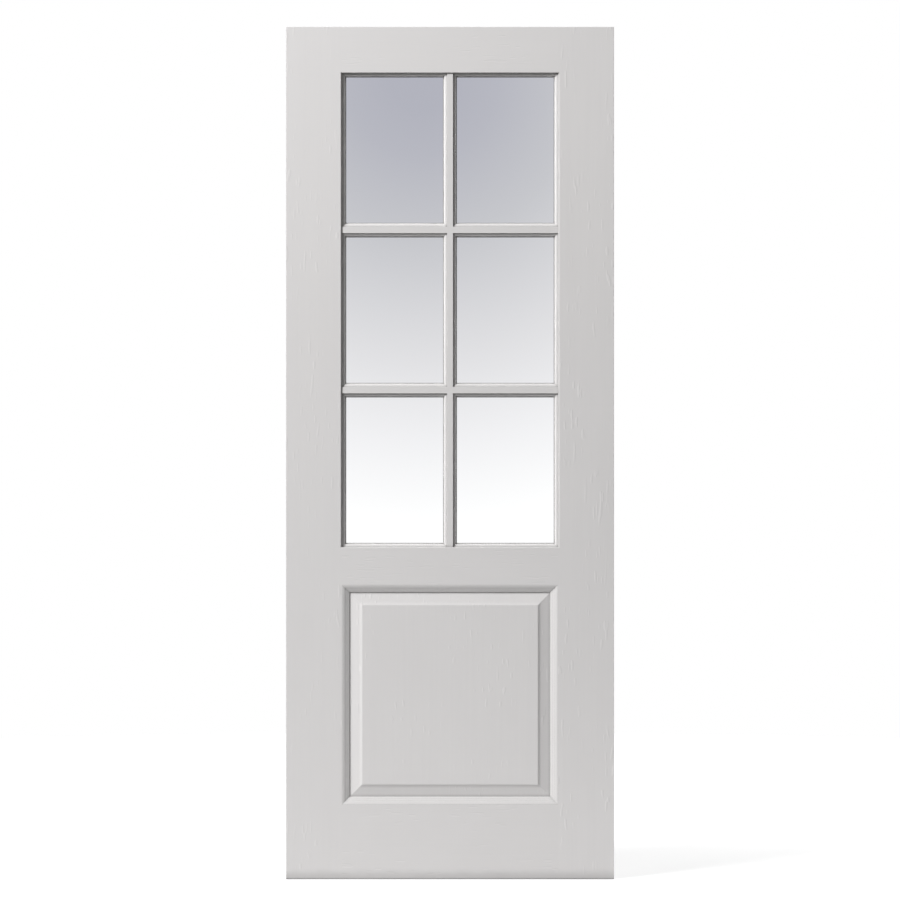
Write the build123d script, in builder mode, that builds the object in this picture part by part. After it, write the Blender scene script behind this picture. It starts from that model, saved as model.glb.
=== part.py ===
from build123d import *
from math import radians, tan
import os

# An internal door leaf: six clear panes over one raised and fielded panel. Two stiles and three rails are
# tenoned together, glazing bars and mitred mouldings hold the glass and the panel, and front and back match.
# The hinge edge lies on X = 0 with the origin at its middle. The front faces -Y and Z is up.

# Door leaf, whose foot is planed off a little more than its other arrises
door_width = 762
door_height = 1981
door_thickness = 35
arris = 0.6
foot_arris = 2

# Stiles and rails, each measured across its board
stile_width = 130
top_rail_width = 106.5
lock_rail_width = 88
bottom_rail_width = 173.5
panel_opening_height = 510.5

# Stub tenons on the rails, and the mortises they seat in
tenon_length = 45
tenon_thickness = 12
tenon_shoulder = 18
mortise_end_gap = 2

# Glass and the lattice of bars that holds it, a step below the faces of the frame
pane_columns = 2
pane_rows = 3
glass_thickness = 4
glass_edge_gap = 2
upright_face_width = 13.4
cross_face_width = 15
bar_setback = 4.3
quirk_width = 2.2
opening_arris = 0.8
bead_overhang = 0.5

# The moulded edge beside the glass: a step, a narrow ledge, a full ovolo and a small flat margin
sticking_width = 8.9
step_width = 0.3
step_depth = 4
ledge_width = 2.2
ledge_fall = 0.5
margin_width = 1.2
margin_depth = 0.5

# Raised and fielded panel: a bevel rises to a shoulder, which rolls over onto the flat field
field_thickness = 31
tongue_thickness = 12
bevel_margin = 1
bevel_width = 19.5
shoulder_width = 9.5
shoulder_rise = 4.2
shoulder_roll = 3
shoulder_angle = 37
groove_depth = 9
panel_edge_gap = 2

# Panel mouldings: an eased edge, shallow reeds, a rounded nose and a fillet on the panel
panel_moulding_width = 18
moulding_setback = 0.3
ease_width = 3.9
ease_depth = 1
reed_count = 3
reed_swell = 0.4
nose_width = 1.2
nose_depth = 1.2
nose_fillet = 1.4

face = door_thickness / 2
half_height = door_height / 2
glass_face = glass_thickness / 2
bar_face = face - bar_setback
tongue_face = tongue_thickness / 2
field_face = field_thickness / 2

opening_left = stile_width
opening_right = door_width - stile_width
opening_width = opening_right - opening_left
glazed_top = half_height - top_rail_width
panel_bottom = bottom_rail_width - half_height
panel_top = panel_bottom + panel_opening_height
glazed_bottom = panel_top + lock_rail_width
bar_pitch_x = (opening_width + upright_face_width) / pane_columns
bar_pitch_z = (glazed_top - glazed_bottom + cross_face_width) / pane_rows

os.makedirs("parts", exist_ok=True)


def finish(piece, name):
    """Label a finished piece and write it under its own name."""
    piece.part.label = name
    export_step(piece.part, f"parts/{name}.step")


def place_name(index, names):
    """The word for a place in a row of pieces, or its number past the named places."""
    return names[index] if index < len(names) else str(index + 1)


def opening_sides(left, right, bottom, top):
    """Each side of an opening: where its edge starts, which way it runs, which way is inward, its length."""
    width, height = right - left, top - bottom
    up, across = Vector(0, 0, 1), Vector(1, 0, 0)
    return {
        "left": (Vector(left, 0, bottom), up, across, height),
        "top": (Vector(left, 0, top), across, -up, width),
        "right": (Vector(right, 0, top), -up, -across, height),
        "bottom": (Vector(right, 0, bottom), -across, up, width),
    }


def sticking_edge(start, width):
    """The moulded edge beside the glass, from the bar's face down: a step, a ledge, an ovolo and a margin."""
    step_foot = Vector(start + step_width, -bar_face + step_depth)
    ledge_end = step_foot + Vector(ledge_width, ledge_fall)
    margin_end = Vector(start + width, -glass_face - margin_depth)
    ovolo_end = margin_end - Vector(margin_width, 0)
    Polyline((start, -bar_face), step_foot, ledge_end)
    TangentArc(ledge_end, ovolo_end, tangent=(ledge_width, ledge_fall))
    Polyline(ovolo_end, margin_end, (start + width, -glass_face))


def glazing_section(width):
    """Section of a glazing moulding or bead, from the square edge of its rebate in towards the glass."""
    with BuildSketch(mode=Mode.PRIVATE) as section:
        with BuildLine():
            sticking_edge(0, width)
            Polyline((width, -glass_face), (0, -glass_face), (0, -bar_face))
        make_face()
    return section.sketch


def bar_section(face_width):
    """Section of a glazing bar: moulded on both sides of its face, with a plain web between the panes."""
    half = face_width / 2
    with BuildSketch(mode=Mode.PRIVATE) as section:
        with BuildLine():
            sticking_edge(half, sticking_width)
            Polyline(
                (half + sticking_width, -glass_face),
                (half, -glass_face),
                (half, bar_face),
                (0, bar_face),
            )
            Line((half, -bar_face), (0, -bar_face))
            mirror(about=Plane.YZ)
        make_face()
    return section.sketch


def panel_moulding_section():
    """Section of a panel moulding: from its eased edge, reeds step down to a nose and a fillet."""
    high = face - moulding_setback
    nose_end = (panel_moulding_width, -tongue_face - nose_fillet)
    nose_start = Vector(panel_moulding_width - nose_width, nose_end[1] - nose_depth)
    ease_end = Vector(ease_width, -high + ease_depth)
    step = (nose_start - ease_end) / reed_count
    swell = Vector(step.Y, -step.X).normalized() * reed_swell
    with BuildSketch(mode=Mode.PRIVATE) as section:
        with BuildLine():
            TangentArc((0, -high), ease_end, tangent=(1, 0))
            for reed in range(reed_count):
                start = ease_end + step * reed
                ThreePointArc(start, start + step / 2 + swell, start + step)
            TangentArc(nose_start, nose_end, tangent=step)
            Polyline(nose_end, (panel_moulding_width, -tongue_face), (0, -tongue_face), (0, -high))
        make_face()
    return section.sketch


def mitred_strip(section, side, rear):
    """One length of moulding along a side of an opening, mitred at both ends, on the front or the rear."""
    start, along, inward, length = side
    with BuildPart() as strip:
        with BuildSketch(Plane(origin=start, x_dir=inward, z_dir=along)):
            add(section)
        extrude(amount=length)
        split(bisect_by=Plane(origin=start, z_dir=along - inward))
        split(bisect_by=Plane(origin=start + along * length, z_dir=-along - inward))
        if rear:
            mirror(about=Plane.XZ, mode=Mode.REPLACE)
    return strip.part


def make_mouldings(name, section, sides, rear=False):
    """A node of one or more mitred lengths of the same moulding."""
    strips = [mitred_strip(section, side, rear) for side in sides]
    with BuildPart() as moulding:
        add(strips)
    finish(moulding, name)
    return moulding.part


def make_stile(name, outer_x, inward):
    """A full-height stile with a mortise for each rail and a groove for the panel."""
    edge_x = outer_x + inward * stile_width
    with BuildPart() as stile:
        with BuildSketch(Plane.XY.offset(-half_height)):
            with Locations((outer_x + inward * stile_width / 2, 0)):
                Rectangle(stile_width, door_thickness)
        extrude(amount=door_height)
        outer_face = stile.faces().filter_by(Axis.X).sort_by(Axis.X)[0 if inward > 0 else -1]
        chamfer(outer_face.edges().filter_by(Axis.Z), arris)
        chamfer(stile.faces().sort_by(Axis.Z)[-1].edges().filter_by(Axis.X), arris)
        chamfer(stile.faces().sort_by(Axis.Z)[0].edges().filter_by(Axis.X), foot_arris)
        for low, high in rail_heights:
            with BuildSketch(Plane.YZ.offset(edge_x)):
                with Locations((0, (low + high) / 2)):
                    Rectangle(tenon_thickness, high - low - 2 * tenon_shoulder)
            extrude(amount=-inward * (tenon_length + mortise_end_gap), mode=Mode.SUBTRACT)
        with BuildSketch(Plane.YZ.offset(edge_x)):
            with Locations((0, (panel_bottom + panel_top) / 2)):
                Rectangle(tongue_thickness, panel_opening_height + 2 * groove_depth)
        extrude(amount=-inward * groove_depth, mode=Mode.SUBTRACT)
        add(glazed_quirk, mode=Mode.SUBTRACT)
    finish(stile, name)


def make_rail(name, low, high, groove_edges=(), eased_edge=None, easing=0):
    """A rail between the stiles, with stub tenons, a groove beside the panel and its free edge eased."""
    with BuildPart() as rail:
        with BuildSketch(Plane.YZ.offset(opening_left)):
            with Locations((0, (low + high) / 2)):
                Rectangle(door_thickness, high - low)
        extrude(amount=opening_width)
        if eased_edge:
            chamfer(rail.faces().sort_by(eased_edge)[-1].edges().filter_by(Axis.X), easing)
        with BuildSketch(Plane.YZ.offset(opening_left - tenon_length)):
            with Locations((0, (low + high) / 2)):
                Rectangle(tenon_thickness, high - low - 2 * tenon_shoulder)
        extrude(amount=opening_width + 2 * tenon_length)
        for edge, outward in groove_edges:
            with BuildSketch(Plane.XY.offset(edge)):
                with Locations((door_width / 2, 0)):
                    Rectangle(opening_width, tongue_thickness)
            extrude(amount=outward * groove_depth, mode=Mode.SUBTRACT)
        add(glazed_quirk, mode=Mode.SUBTRACT)
    finish(rail, name)


def raising_cut(section, side):
    """What the raising cutter takes off both faces of the panel along one of its edges."""
    start, along, inward, length = side
    with BuildPart() as cut:
        with BuildSketch(Plane(origin=start, x_dir=inward, z_dir=along)):
            add(section)
        extrude(amount=length)
        mirror(about=Plane.XZ)
    return cut.part


rail_heights = ((-half_height, panel_bottom), (panel_top, glazed_bottom), (glazed_top, half_height))

# The quirk round the glazed opening on both faces: a narrow ledge in each stile, level with the faces of
# the bars, under an eased arris that runs along the stiles and the rails
glazed_middle = (door_width / 2, (glazed_bottom + glazed_top) / 2)
quirk_size = (opening_width + 2 * quirk_width, glazed_top - glazed_bottom)
with BuildPart() as quirk_cutter:
    for side in (1, -1):
        with BuildSketch(Plane.XZ.offset(side * face)):
            with Locations(glazed_middle):
                Rectangle(*quirk_size)
        extrude(amount=-side * bar_setback)
        with BuildSketch(Plane.XZ.offset(side * face)):
            with Locations(glazed_middle):
                Rectangle(*(size + 2 * opening_arris for size in quirk_size))
        extrude(amount=-side * opening_arris, taper=45)
glazed_quirk = quirk_cutter.part

make_stile("hinge_stile", 0, 1)
make_stile("lock_stile", door_width, -1)
make_rail("bottom_rail", *rail_heights[0], [(panel_bottom, -1)], -Axis.Z, foot_arris)
make_rail("lock_rail", *rail_heights[1], [(panel_top, 1)])
make_rail("top_rail", *rail_heights[2], [], Axis.Z, arris)

# Front glazing mouldings round the whole glazed opening
front_section = glazing_section(sticking_width)
glazed_opening = opening_sides(opening_left, opening_right, glazed_bottom, glazed_top)
edge_mouldings = {
    side: make_mouldings(f"glazing_moulding_{side}", front_section, [where])
    for side, where in glazed_opening.items()
}

# Glazing bars: uprights run from rail to rail, and the cross bars are scribed over them and the mouldings
upright_section = bar_section(upright_face_width)
cross_section = bar_section(cross_face_width)
uprights = []
for column in range(1, pane_columns):
    bar_x = opening_left + column * bar_pitch_x - upright_face_width / 2
    with BuildPart() as upright_bar:
        with BuildSketch(Plane(origin=(bar_x, 0, glazed_bottom), x_dir=(1, 0, 0), z_dir=(0, 0, 1))):
            add(upright_section)
        extrude(amount=glazed_top - glazed_bottom)
        for side in ("bottom", "top"):
            add(edge_mouldings[side], mode=Mode.SUBTRACT)
    finish(upright_bar, "glazing_bar_upright" + (f"_{column}" if pane_columns > 2 else ""))
    uprights.append((bar_x, upright_bar.part))

for row in range(1, pane_rows):
    bar_z = glazed_bottom + row * bar_pitch_z - cross_face_width / 2
    stops = [opening_left] + [x for x, _ in uprights] + [opening_right]
    for column in range(pane_columns):
        with BuildPart() as cross_bar:
            with BuildSketch(Plane(origin=(stops[column], 0, bar_z), x_dir=(0, 0, -1), z_dir=(1, 0, 0))):
                add(cross_section)
            extrude(amount=stops[column + 1] - stops[column])
            for _, upright in uprights:
                add(upright, mode=Mode.SUBTRACT)
            for side in ("left", "right"):
                add(edge_mouldings[side], mode=Mode.SUBTRACT)
        place = f"{place_name(row - 1, ('lower', 'upper'))}_{place_name(column, ('left', 'right'))}"
        finish(cross_bar, f"glazing_bar_{place}")

# Glass, and the beads that hold each pane from the rear, a little proud of the mouldings in front
bead_section = glazing_section(sticking_width + bead_overhang)
for row in range(pane_rows):
    for column in range(pane_columns):
        left = opening_left + column * bar_pitch_x
        bottom = glazed_bottom + row * bar_pitch_z
        right = left + bar_pitch_x - upright_face_width
        top = bottom + bar_pitch_z - cross_face_width
        place = f"{place_name(row, ('bottom', 'middle', 'top'))}_{place_name(column, ('left', 'right'))}"
        with BuildPart() as pane:
            with BuildSketch(Plane.XZ.offset(-glass_face)):
                with Locations(((left + right) / 2, (bottom + top) / 2)):
                    Rectangle(right - left - 2 * glass_edge_gap, top - bottom - 2 * glass_edge_gap)
            extrude(amount=glass_thickness)
        finish(pane, f"glass_{place}")
        sides = opening_sides(left, right, bottom, top)
        for kind, pair in (("side", ("left", "right")), ("cross", ("bottom", "top"))):
            make_mouldings(f"{kind}_beads_{place}", bead_section, [sides[s] for s in pair], rear=True)

# Section that the raising cutter takes off the edge of the panel, from the tongue up to the field
bevel_start = groove_depth - panel_edge_gap + panel_moulding_width + bevel_margin
bevel_end = bevel_start + bevel_width
shoulder_end = bevel_end + shoulder_width
roll_start = (
    shoulder_end - shoulder_roll,
    -field_face + shoulder_roll * tan(radians(shoulder_angle / 2)),
)
with BuildSketch() as raising_cutter:
    with BuildLine():
        bevel = Line((bevel_start, -tongue_face), (bevel_end, -field_face + shoulder_rise))
        hollow = TangentArc(bevel @ 1, roll_start, tangent=bevel % 1)
        TangentArc(hollow @ 1, (shoulder_end, -field_face), tangent=hollow % 1)
        Polyline(
            (shoulder_end, -field_face),
            (shoulder_end, -face),
            (-panel_edge_gap, -face),
            (-panel_edge_gap, -tongue_face),
            (bevel_start, -tongue_face),
        )
    make_face()

# The panel is one board, cut along its four edges
panel_reach = groove_depth - panel_edge_gap
panel_edges = opening_sides(
    opening_left - panel_reach, opening_right + panel_reach, panel_bottom - panel_reach, panel_top + panel_reach
)
raising_cuts = [raising_cut(raising_cutter.sketch, side) for side in panel_edges.values()]
with BuildPart() as panel:
    with BuildSketch(Plane.XZ.offset(-field_face)):
        with Locations((door_width / 2, (panel_bottom + panel_top) / 2)):
            Rectangle(opening_width + 2 * panel_reach, panel_opening_height + 2 * panel_reach)
    extrude(amount=field_thickness)
    add(raising_cuts, mode=Mode.SUBTRACT)
finish(panel, "panel")

moulding_section = panel_moulding_section()
panel_opening = opening_sides(opening_left, opening_right, panel_bottom, panel_top)
for side, where in panel_opening.items():
    make_mouldings(f"panel_moulding_front_{side}", moulding_section, [where])
    make_mouldings(f"panel_moulding_rear_{side}", moulding_section, [where], rear=True)
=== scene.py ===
import math

import bpy
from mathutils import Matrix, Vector


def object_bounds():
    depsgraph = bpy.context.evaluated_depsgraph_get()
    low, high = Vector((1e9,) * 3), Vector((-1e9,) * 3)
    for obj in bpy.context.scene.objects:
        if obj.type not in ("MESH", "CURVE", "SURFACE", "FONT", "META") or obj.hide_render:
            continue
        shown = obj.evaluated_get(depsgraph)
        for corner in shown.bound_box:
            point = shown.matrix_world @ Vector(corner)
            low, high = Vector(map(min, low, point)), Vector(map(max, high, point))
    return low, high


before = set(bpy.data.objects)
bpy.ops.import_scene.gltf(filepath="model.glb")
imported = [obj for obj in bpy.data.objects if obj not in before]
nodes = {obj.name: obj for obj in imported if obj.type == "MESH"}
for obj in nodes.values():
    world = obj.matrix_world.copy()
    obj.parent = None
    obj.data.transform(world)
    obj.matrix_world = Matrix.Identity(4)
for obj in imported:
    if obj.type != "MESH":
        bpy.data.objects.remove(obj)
cad_low, cad_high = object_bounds()

# The two stiles are long softwood boards, planed square and sprayed with matt white primer. Their grain
# runs upright, and only scattered pores still show through the paint, as short dark ticks, partly their own
# tone and partly painted shade, each with a painted highlight along one edge. The rails are tenoned into
# the stiles. At the foot the primer is darker, as painted shade where the leaf stands on the floor.


def start_group(name, inputs, outputs):
    """An empty shader group: inputs are (name, socket type, value), outputs are (name, socket type)."""
    group = bpy.data.node_groups.new(name, "ShaderNodeTree")
    for label, kind, value in inputs:
        socket = group.interface.new_socket(label, in_out="INPUT", socket_type=kind)
        if value is not None:
            socket.default_value = value
    for label, kind in outputs:
        group.interface.new_socket(label, in_out="OUTPUT", socket_type=kind)
    return group, group.nodes.new("NodeGroupInput").outputs, group.nodes.new("NodeGroupOutput").inputs


def add_node(tree, kind, links=(), **settings):
    """A node with its settings, and with its inputs linked or set from (input, source or value) pairs."""
    node = tree.nodes.new(kind)
    for key, value in settings.items():
        setattr(node, key, value)
    for where, source in links:
        if isinstance(source, bpy.types.NodeSocket):
            tree.links.new(source, node.inputs[where])
        else:
            node.inputs[where].default_value = source
    return node


def calculate(tree, operation, *values):
    """The result of one Math node on sockets or numbers."""
    return add_node(tree, "ShaderNodeMath", list(enumerate(values)), operation=operation).outputs[0]


def around_zero(tree, noise, spread):
    """Noise from 0 to 1 turned into a swing about zero that is spread wide in all."""
    return calculate(tree, "MULTIPLY", calculate(tree, "SUBTRACT", noise, 0.5), spread)


def stretched_noise(tree, point, cells, detail=2.0):
    """Noise from 0 to 1 with so many cells to the metre each way."""
    scaled = add_node(tree, "ShaderNodeVectorMath", [(0, point), (1, cells)], operation="MULTIPLY")
    links = [("Vector", scaled.outputs[0]), ("Scale", 1.0), ("Detail", detail), ("Roughness", 0.5)]
    return add_node(tree, "ShaderNodeTexNoise", links, noise_dimensions="3D").outputs["Fac"]


def ramp(tree, value, start, end, first=0.0, last=1.0, curve="SMOOTHSTEP"):
    """A value mapped so that it is first up to start, last from end on, and follows the curve between."""
    links = [("Value", value), ("From Min", start), ("From Max", end), ("To Min", first), ("To Max", last)]
    return add_node(tree, "ShaderNodeMapRange", links, interpolation_type=curve).outputs[0]


def build_timber_grain():
    """Softwood grain along Z under paint: dark pores, partly painted shade, each with a painted highlight
    beside it, fibre, growth lines and slow blotches.
    """
    group, given, result = start_group(
        "timber_grain",
        [
            ("Point", "NodeSocketVector", None),
            ("Pore Depth", "NodeSocketFloat", 1.0),
            ("Tone Spread", "NodeSocketFloat", 1.0),
        ],
        [("Tone", "NodeSocketFloat"), ("Relief", "NodeSocketFloat")],
    )
    point = given["Point"]
    clusters = ramp(group, stretched_noise(group, point, (13, 13, 5), detail=1), 0.46, 0.60)

    def scattered_ticks(where):
        """Short ticks along the grain, only where the clusters are."""
        ticks = ramp(group, stretched_noise(group, where, (200, 200, 30), detail=0), 0.70, 0.78)
        return calculate(group, "MULTIPLY", ticks, clusters)

    # Beside each pore lies a pale lip: a painted highlight, as on the lit side of a raised tick.
    highlight_offset = (0.0026, 0, 0)
    pore_shade, highlight_strength = -0.07, 0.09
    beside = add_node(
        group, "ShaderNodeVectorMath", [(0, point), (1, highlight_offset)], operation="ADD"
    ).outputs[0]
    pores = scattered_ticks(point)
    painted_highlight_tone = calculate(group, "MULTIPLY", scattered_ticks(beside), highlight_strength)
    pore_and_highlight_tone = calculate(group, "MULTIPLY_ADD", pores, pore_shade, painted_highlight_tone)

    ring_spread, blotch_spread = 0.035, 0.04
    ring_tone = around_zero(group, stretched_noise(group, point, (130, 130, 3.2), detail=3), ring_spread)
    blotch_tone = around_zero(group, stretched_noise(group, point, (14, 14, 5)), blotch_spread)
    spread = calculate(group, "ADD", calculate(group, "ADD", ring_tone, blotch_tone), pore_and_highlight_tone)
    tone = calculate(group, "MULTIPLY_ADD", spread, given["Tone Spread"], 1.0)
    group.links.new(tone, result["Tone"])

    pore_height, fibre_height = 2.0, 0.12
    pore_relief = calculate(group, "MULTIPLY", pores, pore_height)
    fibre = stretched_noise(group, point, (900, 900, 30))
    relief = calculate(group, "MULTIPLY_ADD", fibre, fibre_height, pore_relief)
    group.links.new(calculate(group, "MULTIPLY", relief, given["Pore Depth"]), result["Relief"])
    return group


def build_sprayed_primer():
    """The skin of a sprayed primer: a fine orange peel, and a sheen that is a little uneven."""
    group, given, result = start_group(
        "sprayed_primer",
        [("Point", "NodeSocketVector", None), ("Sheen Roughness", "NodeSocketFloat", 0.5)],
        [("Relief", "NodeSocketFloat"), ("Roughness", "NodeSocketFloat")],
    )
    sheen_spread = 0.16
    peel = stretched_noise(group, given["Point"], (420, 420, 420), detail=1)
    clouds = stretched_noise(group, given["Point"], (30, 30, 30), detail=3)
    uneven = around_zero(group, clouds, sheen_spread)
    group.links.new(peel, result["Relief"])
    group.links.new(calculate(group, "ADD", given["Sheen Roughness"], uneven), result["Roughness"])
    return group


def build_painted_foot_shade():
    """The tone of the leaf's lowest part: painted shade where the leaf stands on a floor, darkest at the
    edge.
    """
    group, given, result = start_group(
        "painted_foot_shade",
        [
            ("Point", "NodeSocketVector", None),
            ("Foot", "NodeSocketFloat", 0.0),
            ("Reach", "NodeSocketFloat", 0.02),
        ],
        [("Tone", "NodeSocketFloat")],
    )
    foot_shade_tone = 0.78
    wobble_depth = 0.010
    height = add_node(group, "ShaderNodeSeparateXYZ", [(0, given["Point"])]).outputs["Z"]
    shade_wobble = around_zero(group, stretched_noise(group, given["Point"], (25, 25, 60)), wobble_depth)
    up = calculate(group, "ADD", calculate(group, "SUBTRACT", height, given["Foot"]), shade_wobble)
    share = calculate(group, "DIVIDE", up, given["Reach"])
    group.links.new(ramp(group, share, 0.0, 1.0, foot_shade_tone, 1.0, "SMOOTHERSTEP"), result["Tone"])
    return group


timber_grain = build_timber_grain()
sprayed_primer = build_sprayed_primer()
painted_foot_shade = build_painted_foot_shade()
primer_white = (0.680, 0.666, 0.662)
corner_reach, corner_samples = 0.007, 8
foot_reach = 0.030
peel_share, bump_strength, bump_height = 0.25, 0.35, 0.0002


def primed_timber(
    name,
    turn=(0, 0, 0),
    skip=(0, 0, 0),
    pore_depth=1.0,
    tone_spread=1.0,
    roughness=0.5,
    gloss=0.25,
    corners=0.8,
    corner_light=(0.0, 1.0),
    foot=False,
):
    """White-primed softwood: turn lays its grain along Z, and skip picks another stretch of grain.

    In tight corners painted shade darkens the primer, by the share that corners gives. It is fully so where
    as little light gets in as the first value of corner_light says, and not at all past the second. With
    foot, painted shade darkens the primer near the floor.
    """
    material = bpy.data.materials.new(name)
    material.use_nodes = True
    tree = material.node_tree
    shader = tree.nodes["Principled BSDF"]
    shader.inputs["Specular IOR Level"].default_value = gloss
    place = add_node(tree, "ShaderNodeTexCoord").outputs["Object"]
    turned = add_node(
        tree, "ShaderNodeMapping", [("Vector", place), ("Rotation", turn), ("Location", skip)]
    )
    grain = add_node(
        tree,
        "ShaderNodeGroup",
        [("Point", turned.outputs[0]), ("Pore Depth", pore_depth), ("Tone Spread", tone_spread)],
        node_tree=timber_grain,
    )
    skin = add_node(
        tree,
        "ShaderNodeGroup",
        [("Point", place), ("Sheen Roughness", roughness)],
        node_tree=sprayed_primer,
    )
    # Painted shade: where ambient occlusion finds a tight corner, the primer's colour is darkened.
    openness = add_node(
        tree, "ShaderNodeAmbientOcclusion", [("Distance", corner_reach)], samples=corner_samples
    ).outputs["AO"]
    painted_corner_shade = ramp(tree, openness, *corner_light, 1.0 - corners, 1.0, "LINEAR")
    tone = calculate(tree, "MULTIPLY", grain.outputs["Tone"], painted_corner_shade)
    # Painted shade near the floor darkens the primer at the foot.
    if foot:
        foot_shade = add_node(
            tree,
            "ShaderNodeGroup",
            [("Point", place), ("Foot", cad_low.z), ("Reach", foot_reach)],
            node_tree=painted_foot_shade,
        )
        tone = calculate(tree, "MULTIPLY", tone, foot_shade.outputs["Tone"])
    paint = add_node(tree, "ShaderNodeVectorMath", [(0, primer_white), (3, tone)], operation="SCALE")
    tree.links.new(paint.outputs[0], shader.inputs["Base Color"])
    tree.links.new(skin.outputs["Roughness"], shader.inputs["Roughness"])
    relief = calculate(tree, "MULTIPLY_ADD", skin.outputs["Relief"], peel_share, grain.outputs["Relief"])
    bump = add_node(
        tree, "ShaderNodeBump", [("Height", relief), ("Strength", bump_strength), ("Distance", bump_height)]
    )
    tree.links.new(bump.outputs[0], shader.inputs["Normal"])
    return material


def dress(names, material):
    """Give CAD nodes their finish."""
    for name in names:
        nodes[name].data.materials.clear()
        nodes[name].data.materials.append(material)


# The boards take a lighter share of the painted shade in corners.
board_corners = 0.35
hinge_paint = primed_timber("primed_hinge_stile", tone_spread=0.7, corners=board_corners, foot=True)
lock_paint = primed_timber("primed_lock_stile", skip=(3.1, 0, 0), corners=board_corners, foot=True)
dress(["hinge_stile"], hinge_paint)
dress(["lock_stile"], lock_paint)

# The three rails are the cross boards, of the same primed softwood with its grain lying across.
# Their ends butt tight against the stiles, and the paint closes the joint to a hairline.
across = (0, math.pi / 2, 0)
for rail, rail_skip in (("top_rail", 8.0), ("lock_rail", 9.0), ("bottom_rail", 11.0)):
    rail_paint = primed_timber(
        f"primed_{rail}",
        turn=across,
        skip=(rail_skip, 0, 0),
        tone_spread=0.6,
        corners=board_corners,
        foot=rail == "bottom_rail",
    )
    dress([rail], rail_paint)

# The glazing bars, the mouldings round the glass and the beads behind it are narrow strips, run on a
# spindle moulder. So they are smoother than the boards, and painted shade darkens the primer in their
# coves.


def named(*starts):
    """The names of the nodes that start so."""
    return [name for name in nodes if name.startswith(starts)]


upright_strips = named("glazing_bar_upright", "side_beads")
upright_strips += named("glazing_moulding_left", "glazing_moulding_right")
cross_strips = named("glazing_bar_lower", "glazing_bar_upper", "cross_beads")
cross_strips += named("glazing_moulding_top", "glazing_moulding_bottom")
lattice_look = {"pore_depth": 0.4, "tone_spread": 0.4, "roughness": 0.60, "corners": 0.95}
dress(upright_strips, primed_timber("primed_upright_strips", **lattice_look))
dress(cross_strips, primed_timber("primed_cross_strips", turn=across, **lattice_look))

# The mouldings round the panel are reeded strips, mitred at the corners and pinned over the panel's edge.
# Painted shade darkens the primer in the shallow grooves between the reeds, which draws them as fine lines.
upright_reeds = [name for name in named("panel_moulding") if name.endswith(("left", "right"))]
cross_reeds = [name for name in named("panel_moulding") if name.endswith(("top", "bottom"))]
reed_look = {
    "pore_depth": 0.4,
    "tone_spread": 0.4,
    "gloss": 0.10,
    "corners": 0.22,
    "corner_light": (0.88, 0.97),
}
dress(upright_reeds, primed_timber("primed_upright_reeds", **reed_look))
dress(cross_reeds, primed_timber("primed_cross_reeds", turn=across, **reed_look))

# The panel is one wide board, raised and fielded on both faces, with upright grain like the stiles.
# It floats in its grooves, so it is primed before the frame is glued up round it.
dress(["panel"], primed_timber("primed_panel", skip=(0, 0, 7.0)))

# The panes are clear 4 mm float glass, cut 2 mm shy of their rebates and bedded against the front
# mouldings. Lamps shine through them, so the leaf's shadow has light panes.
pane_glass = bpy.data.materials.new("clear_glass")
pane_glass.use_nodes = True
glass_tree = pane_glass.node_tree
glass_shader = glass_tree.nodes["Principled BSDF"]
glass_shader.inputs["Base Color"].default_value = (0.985, 0.99, 0.99, 1.0)
glass_shader.inputs["Transmission Weight"].default_value = 1.0
glass_shader.inputs["Roughness"].default_value = 0.0
glass_shader.inputs["IOR"].default_value = 1.5
lamp_rays = add_node(glass_tree, "ShaderNodeLightPath").outputs["Is Shadow Ray"]
let_through = add_node(glass_tree, "ShaderNodeBsdfTransparent", [("Color", (0.92, 0.93, 0.93, 1.0))])
pane_surface = add_node(
    glass_tree,
    "ShaderNodeMixShader",
    [("Fac", lamp_rays), (1, glass_shader.outputs[0]), (2, let_through.outputs[0])],
)
glass_tree.links.new(pane_surface.outputs[0], glass_tree.nodes["Material Output"].inputs["Surface"])
dress(named("glass_"), pane_glass)

# The studio: a floor under the leaf, which keeps its shadow and looks white to the camera. Round the foot
# lies a pale sheet, which throws light up onto the lower part of the leaf. The rest throws next to none.
leaf_middle = (cad_low + cad_high) / 2
leaf_height = cad_high.z - cad_low.z
floor_radius, floor_sides = 4.5, 96
floor_corners = []
for side in range(floor_sides):
    turn = 2 * math.pi * side / floor_sides
    floor_corners.append(
        (leaf_middle.x + floor_radius * math.cos(turn), floor_radius * math.sin(turn), cad_low.z)
    )
floor_mesh = bpy.data.meshes.new("studio_floor")
floor_mesh.from_pydata(floor_corners, [], [tuple(range(floor_sides))])
studio_floor = bpy.data.objects.new("studio_floor", floor_mesh)
bpy.context.scene.collection.objects.link(studio_floor)
floor_paint = bpy.data.materials.new("white_floor")
floor_paint.use_nodes = True
floor_tree = floor_paint.node_tree
floor_tree.nodes.remove(floor_tree.nodes["Principled BSDF"])
floor_place = add_node(floor_tree, "ShaderNodeTexCoord").outputs["Object"]
leaf_foot = (leaf_middle.x, leaf_middle.y, cad_low.z)
from_foot = add_node(
    floor_tree, "ShaderNodeVectorMath", [(0, floor_place), (1, leaf_foot)], operation="DISTANCE"
).outputs["Value"]
sheet_start, sheet_end = 0.84, 1.56
sheet_tone, bare_tone = 0.58, 0.04
floor_tone = ramp(floor_tree, from_foot, sheet_start, sheet_end, sheet_tone, bare_tone, "LINEAR")
plain_floor = add_node(floor_tree, "ShaderNodeBsdfDiffuse", [("Color", floor_tone)])
glow_start, glow_end = 0.5, 1.8
glow_by_foot, far_glow = 0.76, 0.84
glow_strength = ramp(floor_tree, from_foot, glow_start, glow_end, glow_by_foot, far_glow)
white_glow = add_node(floor_tree, "ShaderNodeEmission", [("Strength", glow_strength)])
kept_shadow = add_node(floor_tree, "ShaderNodeBsdfDiffuse", [("Color", (0.40, 0.40, 0.40, 1.0))])
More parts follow.
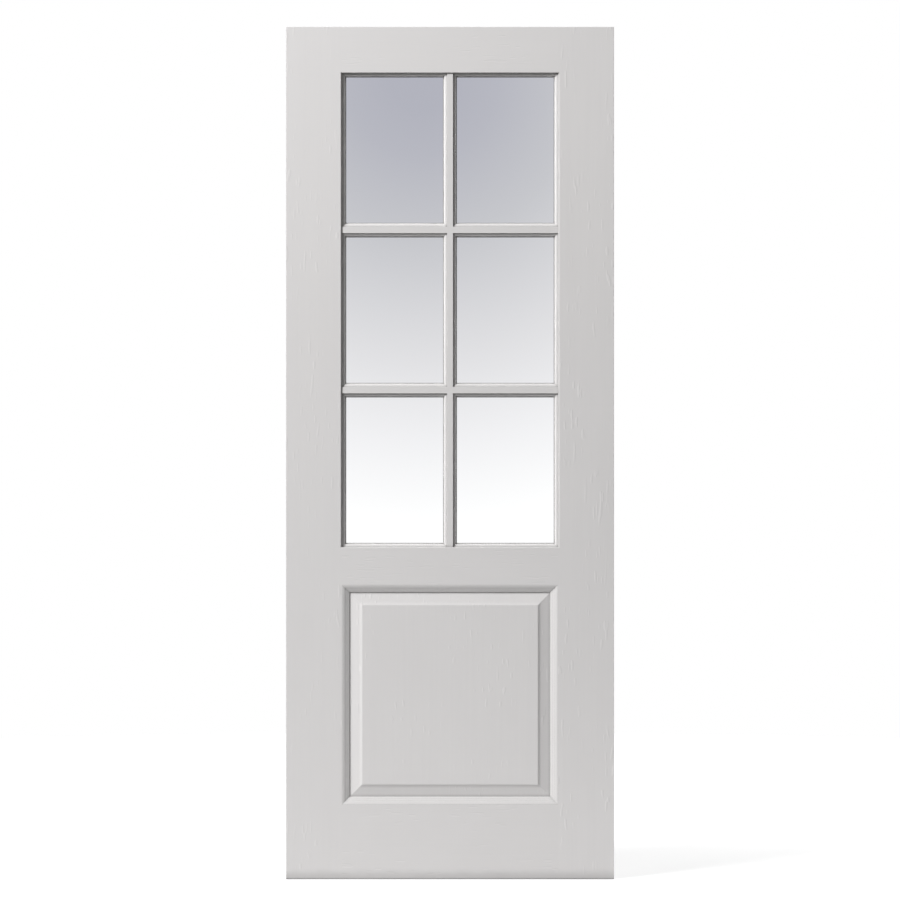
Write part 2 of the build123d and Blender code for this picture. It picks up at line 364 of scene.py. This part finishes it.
seen_floor = add_node(
    floor_tree, "ShaderNodeAddShader", [(0, kept_shadow.outputs[0]), (1, white_glow.outputs[0])]
)


def gloss_or_glass(tree, rays):
    """1 for light paths that come off a glossy surface or through glass."""
    return calculate(tree, "MAXIMUM", rays["Is Glossy Ray"], rays["Is Transmission Ray"])


rays = add_node(floor_tree, "ShaderNodeLightPath").outputs
seen = calculate(floor_tree, "MAXIMUM", rays["Is Camera Ray"], gloss_or_glass(floor_tree, rays))
floor_mix = add_node(
    floor_tree,
    "ShaderNodeMixShader",
    [("Fac", seen), (1, plain_floor.outputs[0]), (2, seen_floor.outputs[0])],
)
floor_tree.links.new(floor_mix.outputs[0], floor_tree.nodes["Material Output"].inputs["Surface"])
studio_floor.data.materials.append(floor_paint)

# Behind the leaf the studio is plain white. Through the panes it is white round the foot of the leaf and
# deepens in wide rings to a cool grey at its head, as the photograph has it. Besides the lamps, a dim room
# lights the leaf, with a wide soft glow at the rear right.
world = bpy.data.worlds.new("studio")
bpy.context.scene.world = world
world.use_nodes = True
sky_tree = world.node_tree
sky_tree.nodes.remove(sky_tree.nodes["Background"])
sky_way = add_node(sky_tree, "ShaderNodeTexCoord").outputs["Generated"]
sky_point = add_node(sky_tree, "ShaderNodeSeparateXYZ", [(0, sky_way)]).outputs
grey_x, grey_z = -0.0075, 0.0987
ring_side, ring_reach = 0.035, 0.1204
sideways = calculate(sky_tree, "ABSOLUTE", calculate(sky_tree, "SUBTRACT", sky_point["X"], grey_x))
sideways = calculate(sky_tree, "MINIMUM", sideways, ring_side)
below = calculate(sky_tree, "MAXIMUM", calculate(sky_tree, "SUBTRACT", grey_z, sky_point["Z"]), 0.0)
squares = [calculate(sky_tree, "POWER", span, 2.0) for span in (sideways, below)]
ring = calculate(sky_tree, "SQRT", calculate(sky_tree, "ADD", *squares))
shade = add_node(sky_tree, "ShaderNodeValToRGB", [("Fac", calculate(sky_tree, "DIVIDE", ring, ring_reach))])
head_grey, head_end = (0.436, 0.440, 0.498, 1.0), 0.07
ring_tints = (
    (0.17, (0.463, 0.467, 0.520, 1.0)),
    (0.35, (0.551, 0.554, 0.584, 1.0)),
    (0.62, (0.735, 0.731, 0.749, 1.0)),
    (0.80, (0.862, 0.860, 0.876, 1.0)),
)
stops = shade.color_ramp.elements
stops[0].position, stops[0].color = head_end, head_grey
stops[1].position, stops[1].color = 1.0, (1.0, 1.0, 1.0, 1.0)
for where, tint in ring_tints:
    stop = stops.new(where)
    stop.color = tint
white_sky = add_node(sky_tree, "ShaderNodeBackground", [("Color", (1, 1, 1, 1)), ("Strength", 1.0)])
shaded_sky = add_node(sky_tree, "ShaderNodeBackground", [("Color", shade.outputs[0]), ("Strength", 1.04)])
rear_way = Vector((0.55, 0.75, 0.38)).normalized()
facing_rear = add_node(
    sky_tree, "ShaderNodeVectorMath", [(0, sky_way), (1, rear_way)], operation="DOT_PRODUCT"
).outputs["Value"]
room_light, rear_light = 0.062, 2.6
rear_edge, rear_core = 0.72, 0.98
rear_share = ramp(sky_tree, facing_rear, rear_edge, rear_core)
strength = calculate(sky_tree, "MULTIPLY_ADD", rear_share, rear_light, room_light)
lit_sky = add_node(sky_tree, "ShaderNodeBackground", [("Color", (1, 1, 1, 1)), ("Strength", strength)])
sky_rays = add_node(sky_tree, "ShaderNodeLightPath").outputs
not_bounced = calculate(sky_tree, "LESS_THAN", sky_rays["Diffuse Depth"], 0.5)
through = calculate(sky_tree, "MULTIPLY", gloss_or_glass(sky_tree, sky_rays), not_bounced)
indirect = add_node(
    sky_tree, "ShaderNodeMixShader", [("Fac", through), (1, lit_sky.outputs[0]), (2, shaded_sky.outputs[0])]
)
sky = add_node(
    sky_tree,
    "ShaderNodeMixShader",
    [("Fac", sky_rays["Is Camera Ray"]), (1, indirect.outputs[0]), (2, white_sky.outputs[0])],
)
sky_tree.links.new(sky.outputs[0], sky_tree.nodes["World Output"].inputs["Surface"])

# The soft key stands high on the left in front of the leaf and gives the mouldings their dark sides, and a
# weak lamp on the right opens them a little.


def hang_lamp(name, azimuth, elevation, watts, size, distance=8.0):
    """A square soft lamp aimed at the leaf's middle. Azimuth 0 is in front, and right is positive."""
    turn, rise = math.radians(azimuth), math.radians(elevation)
    way = Vector((math.sin(turn) * math.cos(rise), -math.cos(turn) * math.cos(rise), math.sin(rise)))
    data = bpy.data.lights.new(name, "AREA")
    data.shape = "SQUARE"
    data.size = size
    data.energy = watts
    lamp = bpy.data.objects.new(name, data)
    lamp.location = leaf_middle + way * distance
    lamp.rotation_euler = (-way).to_track_quat("-Z", "Y").to_euler()
    bpy.context.scene.collection.objects.link(lamp)


hang_lamp("soft_key", azimuth=-47.0, elevation=32.5, watts=795, size=2.4)
hang_lamp("right_fill", azimuth=30.0, elevation=20.0, watts=35, size=1.8)

# The camera looks square at the front face from far off, as the photograph does, with the leaf's middle
# a few pixels under the middle of the picture.
picture_side = 900
leaf_pixels = 852.5
pixels_under_middle = 3.1
lens, sensor = 150.0, 36.0
metres_per_pixel = leaf_height / leaf_pixels
camera_distance = metres_per_pixel * picture_side * lens / sensor
camera_data = bpy.data.cameras.new("camera")
camera_data.lens = lens
camera_data.sensor_width = sensor
camera = bpy.data.objects.new("camera", camera_data)
camera.location = (
    leaf_middle.x,
    cad_low.y - camera_distance,
    leaf_middle.z + pixels_under_middle * metres_per_pixel,
)
camera.rotation_euler = (math.pi / 2, 0, 0)
bpy.context.scene.collection.objects.link(camera)
bpy.context.scene.camera = camera
bpy.context.scene.view_settings.view_transform = "Standard"
